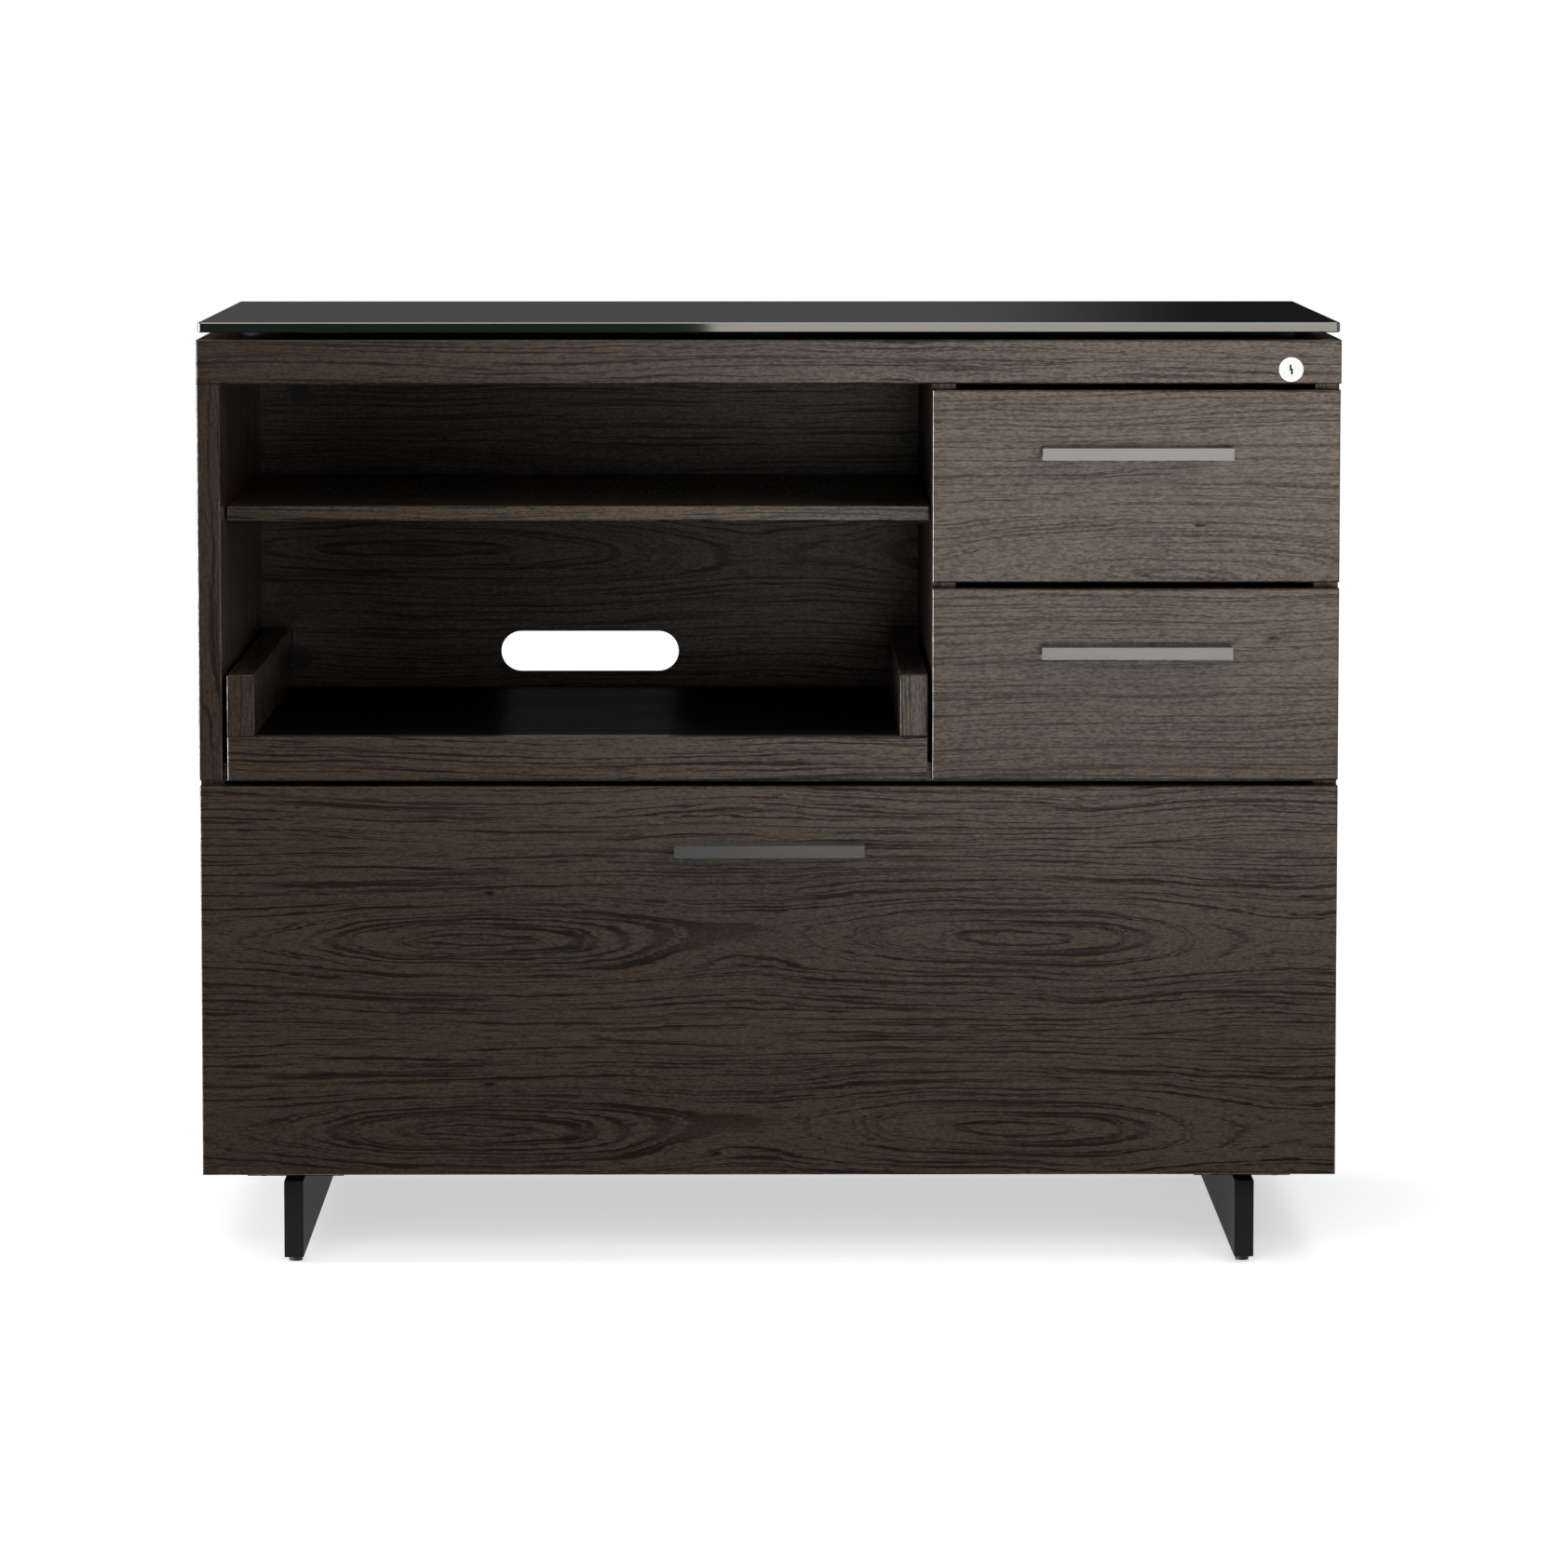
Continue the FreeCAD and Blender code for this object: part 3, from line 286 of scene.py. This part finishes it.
def make_pebble():
    """Even fine pebbling with a slow cloud, as on powder coat, etched glass and moulded plastic."""
    graph, given, result = new_group(
        "fine_pebble", [("Place", VECTOR), ("Size", FLOAT)], [("Pebble", FLOAT), ("Cloud", FLOAT)])
    scale = graph.math("DIVIDE", 1.0, given["Size"])
    graph.fill(result.inputs["Pebble"], graph.noise(given["Place"], scale, 2.0))
    graph.fill(result.inputs["Cloud"], graph.noise(given["Place"], 9.0, 3.0))
    return graph.tree


ASH_GRAIN = make_ash_grain()
BRUSHED = make_fine_lines()
PEBBLE = make_pebble()


def new_material(name, **shader):
    """Material with a Principled shader, its graph, the shader and the place on the piece."""
    material = bpy.data.materials.new(name)
    material.use_nodes = True
    tree = material.node_tree
    tree.nodes.clear()
    graph = Graph(tree)
    plain = {key.replace("_", " "): value for key, value in shader.items()}
    principled = graph.add("ShaderNodeBsdfPrincipled", plain)
    graph.add("ShaderNodeOutputMaterial", {"Surface": principled.outputs[0]})
    place = graph.add("ShaderNodeTexCoord").outputs["Object"]
    return material, graph, principled, place


def ash(name, grain, seed, eye_place=0.0, eye_spacing=0.62, leaf_height=0.155, heart_line=0.0,
        knot=NO_KNOT, early=EARLY_WOOD, late=LATE_WOOD, pore=OPEN_PORE, pore_depth=0.85,
        lacquer=1.0):
    """Charcoal-stained ash veneer, grain along one axis, lacquered thinly over its open pores."""
    material, graph, shader, place = new_material(
        name, Specular_IOR_Level=0.1, Coat_IOR=1.62, Coat_Roughness=0.22)
    x, y, z = graph.split(place)
    facing = graph.split(graph.add("ShaderNodeNewGeometry").outputs["True Normal"])
    run, first, second, axis = {"x": (x, z, y, 0), "z": (z, y, x, 2), "y": (y, x, z, 1)}[grain]

    # End faces carry the grain of their own edging
    end = graph.between(graph.math("ABSOLUTE", facing[axis]), 0.68, 0.72)
    along = graph.choose(end, run, first)
    across = graph.choose(end, graph.math("ADD", first, second), second)
    grained = graph.group(
        ASH_GRAIN, Along=along, Across=across, Eye_Place=eye_place, Eye_Spacing=eye_spacing,
        Leaf_Height=leaf_height, Heart_Line=heart_line, Knot_Place=knot[0], Knot_Rise=knot[1],
        Seed=seed)
    slow = graph.between(grained["Tone"], 0.3, 0.7, 0.0, 0.35)
    shade = graph.math("MULTIPLY_ADD", grained["Fibre"], 0.65, slow)
    pale = graph.blend(shade, toned(early, DARKEST), toned(early, PALEST))
    ringed = graph.blend(grained["Late Wood"], pale, linear(*late))
    pores = graph.math("MULTIPLY", grained["Pores"], pore_depth)
    stained = graph.blend(pores, ringed, linear(*pore))

    # Lacquer lies thinner over pores, late wood and the hollows between fibres
    furrow = graph.math("MAXIMUM", grained["Late Wood"], pores)
    sunk = graph.math("MULTIPLY_ADD", furrow, 0.5, 0.38)
    bare = graph.math("MULTIPLY_ADD", grained["Fibre"], -0.38, sunk)
    graph.fill(shader.inputs["Base Color"], stained)
    graph.fill(shader.inputs["Roughness"], graph.math("MULTIPLY_ADD", furrow, 0.2, 0.45))
    graph.fill(shader.inputs["Coat Weight"], graph.math("MULTIPLY_ADD", bare, -lacquer, lacquer))
    height = graph.math("SUBTRACT", 1.0, furrow)
    graph.fill(shader.inputs["Normal"], graph.bump(height, 0.12, 0.0002))
    return material


def brushed_metal(name, colour, roughness, spread, axis="x", strength=0.08, metallic=1.0):
    """Bare or plated metal with fine lines along one axis."""
    material, graph, shader, place = new_material(name, Metallic=metallic)
    x, y, z = graph.split(place)
    along, across, depth = {"x": (x, y, z), "y": (y, x, z)}[axis]
    lines = graph.group(BRUSHED, Along=along, Across=across, Depth=depth)
    tint = graph.blend(lines["Cloud"], toned(colour, METAL_SHADE), linear(*colour))
    graph.fill(shader.inputs["Base Color"], tint)
    satin = graph.math("MULTIPLY_ADD", lines["Lines"], spread, roughness)
    graph.fill(shader.inputs["Roughness"], satin)
    graph.fill(shader.inputs["Normal"], graph.bump(lines["Lines"], strength, 0.0001))
    return material


def pebbled(name, colour, roughness, size, strength, specular=0.4):
    """Powder coat or moulded plastic."""
    material, graph, shader, place = new_material(name, Specular_IOR_Level=specular)
    skin = graph.group(PEBBLE, Place=place, Size=size)
    tint = graph.blend(skin["Cloud"], toned(colour, COATED_SHADE), linear(*colour))
    graph.fill(shader.inputs["Base Color"], tint)
    matt = graph.math("MULTIPLY_ADD", skin["Pebble"], COATED_SPREAD, roughness)
    graph.fill(shader.inputs["Roughness"], matt)
    graph.fill(shader.inputs["Normal"], graph.bump(skin["Pebble"], strength, 0.0002))
    return material


def keyed_chrome():
    """Plug of the lock: bright face, and painted shade in its keyway."""
    material, graph, shader, place = new_material("keyed_chrome", Metallic=0.6)
    x, y, z = graph.split(place)
    lines = graph.group(BRUSHED, Along=y, Across=x, Depth=z)
    # Painted shade: the plug goes dark where it lies deeper than its face, in the keyway
    keyway_shade = graph.between(y, KEYWAY_FRONT, KEYWAY_INSIDE)
    bright = graph.blend(lines["Cloud"], linear(172, 175, 179), linear(188, 191, 195))
    tint = graph.blend(keyway_shade, bright, linear(26, 24, 22))
    graph.fill(shader.inputs["Base Color"], tint)
    graph.fill(shader.inputs["Roughness"], graph.math("MULTIPLY_ADD", keyway_shade, 0.5, 0.16))
    return material


def black_glass():
    """Opaque black sheet glass: a satin etched top, and polished edges where its green shows."""
    material, graph, shader, place = new_material("black_glass", IOR=1.8)
    etch = graph.group(PEBBLE, Place=place, Size=0.0009)
    facing_up = graph.split(graph.add("ShaderNodeNewGeometry").outputs["Normal"])[2]
    flat = graph.between(graph.math("ABSOLUTE", facing_up), 0.6, 0.95)
    face_tint = graph.blend(etch["Cloud"], (0.010, 0.011, 0.011, 1.0), (0.016, 0.017, 0.017, 1.0))
    edge_tint = graph.blend(etch["Cloud"], (0.028, 0.042, 0.029, 1.0), (0.036, 0.052, 0.037, 1.0))
    graph.fill(shader.inputs["Base Color"], graph.blend(flat, edge_tint, face_tint))
    satin = graph.math("MULTIPLY_ADD", etch["Pebble"], 0.05, 0.07)
    graph.fill(shader.inputs["Roughness"], graph.math("MULTIPLY_ADD", flat, satin, 0.03))
    return material


FINISHES = {
    "front_rail": ash("ash_rail", "x", 1.3, eye_place=-0.21, leaf_height=1.0, heart_line=0.60,
                      lacquer=0.95),
    "left_stile": ash("ash_stile", "z", 2.1, eye_spacing=1.3, heart_line=-0.70,
                      early=(84, 68, 55)),
    "upper_drawer_front": ash(
        "ash_upper_front", "x", 3.4, eye_place=0.33, eye_spacing=0.441, leaf_height=0.31,
        heart_line=0.323, knot=(0.345, 0.038), early=SMALL_FRONT_WOOD, pore_depth=0.66),
    "lower_drawer_front": ash(
        "ash_lower_front", "x", 4.6, eye_place=0.36, eye_spacing=0.62, leaf_height=0.5,
        heart_line=0.105, knot=(0.405, 0.165), early=SMALL_FRONT_WOOD, pore_depth=0.66),
    "file_drawer_front": ash(
        "ash_file_front", "x", 5.2, eye_place=-0.237, eye_spacing=0.441, leaf_height=0.155,
        heart_line=0.027, knot=(-0.225, 0.038), early=LARGE_FRONT_WOOD, pore_depth=0.94),
    "tray_lip": ash("ash_lip", "x", 6.7, eye_spacing=1.1, leaf_height=0.3, heart_line=0.24,
                    early=LARGE_FRONT_WOOD, pore_depth=0.97),
    "shelf": ash("ash_shelf", "x", 7.9, eye_spacing=0.8, leaf_height=0.3, heart_line=0.5,
                 early=(108, 89, 73)),
    # Back panels take the darker stain, with painted shade for the open bay
    "upper_back_panel": ash("ash_upper_back", "x", 8.2, eye_place=-0.3, leaf_height=0.32,
                            heart_line=0.8, **BACK_STAIN_WITH_PAINTED_SHADE),
    "lower_back_panel": ash("ash_lower_back", "x", 12.4, eye_place=-0.1, leaf_height=0.32,
                            heart_line=0.9, **BACK_STAIN_WITH_PAINTED_SHADE),
    "top_panel": ash("ash_top_panel", "x", 14.9, leaf_height=0.3, lacquer=0.1),
    "tray_sides": ash("ash_tray_sides", "z", 13.7, eye_spacing=1.4, leaf_height=0.31),
    # The tray base is coloured almost black, a painted shade for the dark bay under the shelf
    "tray_base": ash("ash_tray", "x", 8.8, early=(24, 20, 18), late=(18, 15, 13),
                     pore=(13, 11, 10), lacquer=0.05),
}
ASH_LEVEL = ash("ash_level", "x", 10.3, leaf_height=0.3)
ASH_UPRIGHT = ash("ash_upright", "z", 11.6, eye_spacing=1.5, leaf_height=0.31, lacquer=0.6)
DRAWER_BOARD = ash("drawer_board", "y", 9.1, eye_spacing=0.8, early=(112, 108, 104),
                   late=(94, 90, 86), pore=(84, 80, 76), lacquer=0.5)
NICKEL = brushed_metal("satin_nickel", (120, 121, 123), 0.15, 0.05, metallic=0.5)
ZINC = brushed_metal("zinc_steel", (176, 178, 180), 0.28, 0.2, axis="y")
MOUNT_METAL = brushed_metal("mount_metal", (58, 58, 60), 0.5, 0.15)
CHROME = brushed_metal("lock_chrome", (188, 192, 196), 0.1, 0.08, axis="y", strength=0.03,
                       metallic=0.6)
BLACK_STEEL = pebbled("black_steel", (63, 63, 64), 0.58, 0.0011, 0.18, specular=0.08)
BLACK_PLASTIC = pebbled("black_plastic", (30, 30, 31), 0.5, 0.0006, 0.25)
for level in ("bottom_panel", "mid_panel"):
    FINISHES[level] = ASH_LEVEL
for upright in ("left_side_panel", "right_side_panel", "divider_panel", "back_cleats"):
    FINISHES[upright] = ASH_UPRIGHT
for drawer in DRAWERS:
    FINISHES[drawer + "_walls"] = DRAWER_BOARD
    FINISHES[drawer + "_bottom"] = DRAWER_BOARD
    FINISHES[drawer + "_handle"] = NICKEL
    for metal in ("_handle_screws", "_lock_catch", "_slide_inners", "_slide_middles"):
        FINISHES[drawer + metal] = ZINC
for metal in ("slide_outers", "tray_slide_middles", "tray_slide_inners", "leg_screws", "lock_cam",
              "lock_bar", "file_bars", "shelf_pins"):
    FINISHES[metal] = ZINC
for foot in FEET:
    FINISHES[foot] = BLACK_PLASTIC
FINISHES["left_leg"] = BLACK_STEEL
FINISHES["right_leg"] = BLACK_STEEL
FINISHES["back_panel_fasteners"] = BLACK_PLASTIC
FINISHES["lock_barrel"] = CHROME
FINISHES["lock_plug"] = keyed_chrome()
FINISHES["glass_mounts"] = MOUNT_METAL
FINISHES["glass_top"] = black_glass()
FINISHES["carcass_dowels"] = ash("beech", "x", 4.7, early=(206, 172, 128), late=(178, 142, 100),
                                 pore=(150, 112, 74), lacquer=0.2)

for name, piece in nodes.items():
    piece.data.materials.clear()
    piece.data.materials.append(FINISHES[name])

# Broken edges on boards and metal, by their width in metres
SOFT_EDGES = {"shelf": 0.0006, "tray_sides": 0.0008, "tray_base": 0.0005, "left_leg": 0.0008,
              "right_leg": 0.0008, "left_side_panel": 0.0006, "right_side_panel": 0.0006,
              "top_panel": 0.0006}
for drawer in DRAWERS:
    SOFT_EDGES[drawer + "_handle"] = 0.0007
    SOFT_EDGES[drawer + "_walls"] = 0.0005
for name, width in SOFT_EDGES.items():
    weld = nodes[name].modifiers.new("joined_faces", "WELD")
    weld.merge_threshold = 0.00001
    bevel = nodes[name].modifiers.new("broken_edges", "BEVEL")
    bevel.width = width
    bevel.segments = 2
    bevel.limit_method = "ANGLE"
    bevel.angle_limit = math.radians(50.0)
    bevel.harden_normals = True


def upright_corners(start, end, low, high):
    """Corners of a wall over the line between two points of the floor."""
    return [(*start, low), (*end, low), (*end, high), (*start, high)]


def level_corners(front_half, front, back_half, back, height):
    """Corners of a level card, by half its width at its front and back edge."""
    return [(-front_half, front, height), (front_half, front, height),
            (back_half, back, height), (-back_half, back, height)]


def sheet(name, corners):
    """Flat four-cornered stage piece."""
    mesh = bpy.data.meshes.new(name)
    build = bmesh.new()
    build.faces.new([build.verts.new(corner) for corner in corners])
    build.to_mesh(mesh)
    build.free()
    piece = bpy.data.objects.new(name, mesh)
    scene.collection.objects.link(piece)
    return piece


def seen_or_mirrored(graph):
    """One for what the camera sees straight, in a reflection or through glass."""
    path = graph.add("ShaderNodeLightPath").outputs
    seen = graph.math("MAXIMUM", path["Is Camera Ray"], path["Is Glossy Ray"])
    return graph.math("MAXIMUM", seen, path["Is Transmission Ray"])


def make_floor():
    """Pale floor that goes to white away from the cabinet, with painted shade in its glow near the
    cabinet, and keeps its soft shadow.
    """
    floor = sheet("floor", level_corners(FLOOR_HALF, -FLOOR_HALF, FLOOR_HALF, FLOOR_HALF, 0))
    material, graph, shader, place = new_material(
        "pale_floor", Specular_IOR_Level=0.0, Roughness=0.9, Emission_Strength=1.0)
    mottle = graph.noise(place, 3.0, 2.0)
    tint = graph.blend(mottle, linear(228, 228, 228), linear(232, 232, 232))
    graph.fill(shader.inputs["Base Color"], tint)
    away = graph.add("ShaderNodeVectorMath", {0: place}, operation="LENGTH").outputs["Value"]
    # Painted shade: the floor glows less near the cabinet and more away from it
    painted_shade_glow = graph.between(away, 0.5, 1.7, SHADOW_TONE, 1.0)
    glow = graph.math("MULTIPLY", painted_shade_glow, seen_or_mirrored(graph))
    graph.fill(shader.inputs["Emission Color"], graph.blend(glow, BLACK, WHITE))
    floor.data.materials.append(material)
    floor.visible_diffuse = False
    return floor


def reflector(name, corners, left, right, step, strength=1.0):
    """Studio card that shows only in reflections, with one shade on each side of a step."""
    card = sheet(name, corners)
    material, graph, shader, place = new_material(
        name, Base_Color=BLACK, Specular_IOR_Level=0.0, Emission_Strength=strength)
    beyond = graph.between(graph.split(place)[0], *step)
    shade = graph.blend(beyond, linear(*left), linear(*right))
    graph.fill(shader.inputs["Emission Color"], shade)
    card.data.materials.append(material)
    card.visible_camera = False
    card.visible_diffuse = False
    card.visible_shadow = False
    card.visible_transmission = False


def make_cards():
    """Room, front panel, floor cards and strips that the lacquer, glass and metal mirror."""
    reflector("wall_behind", upright_corners((-4, 2.6), (4, 2.6), 0.6, 2.4),
              (84, 84, 85), (24, 24, 24), (0.2, 0.55))
    reflector("wall_in_front", upright_corners((-3.4, -7.2), (3.4, -7.2), 0.0, 3.6),
              (16, 16, 16), (22, 22, 22), SLOW_STEP)
    reflector("ceiling",
              level_corners(STUDIO_HALF, -STUDIO_HALF, STUDIO_HALF, STUDIO_HALF, CEILING),
              (62, 62, 63), (68, 68, 69), WALL_STEP)
    front_left, front_right = (-STUDIO_HALF, -STUDIO_HALF), (STUDIO_HALF, -STUDIO_HALF)
    back_left, back_right = (-STUDIO_HALF, STUDIO_HALF), (STUDIO_HALF, STUDIO_HALF)
    for wall, start, end in (("upper_wall_left", front_left, back_left),
                             ("upper_wall_right", front_right, back_right),
                             ("upper_wall_front", front_left, front_right),
                             ("upper_wall_back", back_left, back_right)):
        reflector(wall, upright_corners(start, end, WALL_FOOT, CEILING),
                  (66, 66, 67), (72, 72, 73), WALL_STEP)
    reflector("panel_in_front", upright_corners((-2.4, -7.1), (2.4, -7.1), 0.0, 0.95),
              CARD_BLACK, WARM_WHITE, (-0.09, -0.07), 3.6)
    reflector("floor_far_in_front", level_corners(2.4, -7.1, 2.0, -4.3, ON_FLOOR),
              CARD_BLACK, WARM_WHITE, (-0.08, -0.06), 3.15)
    reflector("floor_in_front", level_corners(1.9, -4.3, 0.8, -0.3, ON_FLOOR),
              (14, 14, 14), (18, 18, 18), SLOW_STEP)
    reflector("strip_above", level_corners(0.7, -0.75, 0.7, -0.2, 2.6), *CARD_WHITE, SLOW_STEP, 4.0)
    reflector("card_at_left", upright_corners((-3, -2.2), (-3, -0.3), 0.0, 0.74),
              *CARD_WHITE, (-4.0, -2.0), 34.0)


def make_world():
    """White for what is seen straight or mirrored, and a low even light for the rest."""
    world = bpy.data.worlds.new("studio")
    world.use_nodes = True
    world.node_tree.nodes.clear()
    graph = Graph(world.node_tree)
    strength = graph.math("MULTIPLY_ADD", seen_or_mirrored(graph), 1.0 - EVEN_LIGHT, EVEN_LIGHT)
    background = graph.add("ShaderNodeBackground", {"Color": WHITE, "Strength": strength})
    graph.add("ShaderNodeOutputWorld", {"Surface": background.outputs[0]})
    scene.world = world


def softbox(name, place, target, size, power, lit=None):
    """Oblong soft light, hidden from reflections, on one lit piece or on all."""
    lamp = bpy.data.lights.new(name, "AREA")
    lamp.shape = "RECTANGLE"
    lamp.size, lamp.size_y = size
    lamp.energy = power
    piece = bpy.data.objects.new(name, lamp)
    piece.location = place
    piece.rotation_euler = (Vector(target) - Vector(place)).to_track_quat("-Z", "Y").to_euler()
    piece.visible_glossy = False
    if lit:
        receivers = bpy.data.collections.new(name + "_receivers")
        receivers.objects.link(lit)
        piece.light_linking.receiver_collection = receivers
    scene.collection.objects.link(piece)


def make_camera():
    """Long lens, a little above the glass, aimed just under the middle of the fronts."""
    lens = bpy.data.cameras.new("camera")
    lens.lens = LENS
    lens.sensor_width = SENSOR
    lens.clip_end = SIGHT_END
    camera = bpy.data.objects.new("camera", lens)
    camera.location = CAMERA_PLACE
    sight = Vector(CAMERA_AIM) - camera.location
    camera.rotation_euler = sight.to_track_quat("-Z", "Y").to_euler()
    scene.collection.objects.link(camera)
    scene.camera = camera


floor = make_floor()
make_cards()
make_world()
softbox("key_light", (0.75, -0.92, 1.05), (0.25, -0.24, 0.6), (0.5, 0.5), 2.6)
softbox("left_strip", (-2.6, -0.42, 0.75), (-0.2, -0.2, 0.5), (0.25, 1.4), 40.0)
softbox("floor_light", (0.0, 0.4, 3.2), (0.0, 0.2, 0.0), (3.0, 3.0), 45.0)
softbox("low_floor_light", (0.0, -2.2, 0.87), (0.0, -0.25, 0.0), (3.0, 1.05), 48.0, floor)
make_camera()
scene.view_settings.view_transform = "Standard"
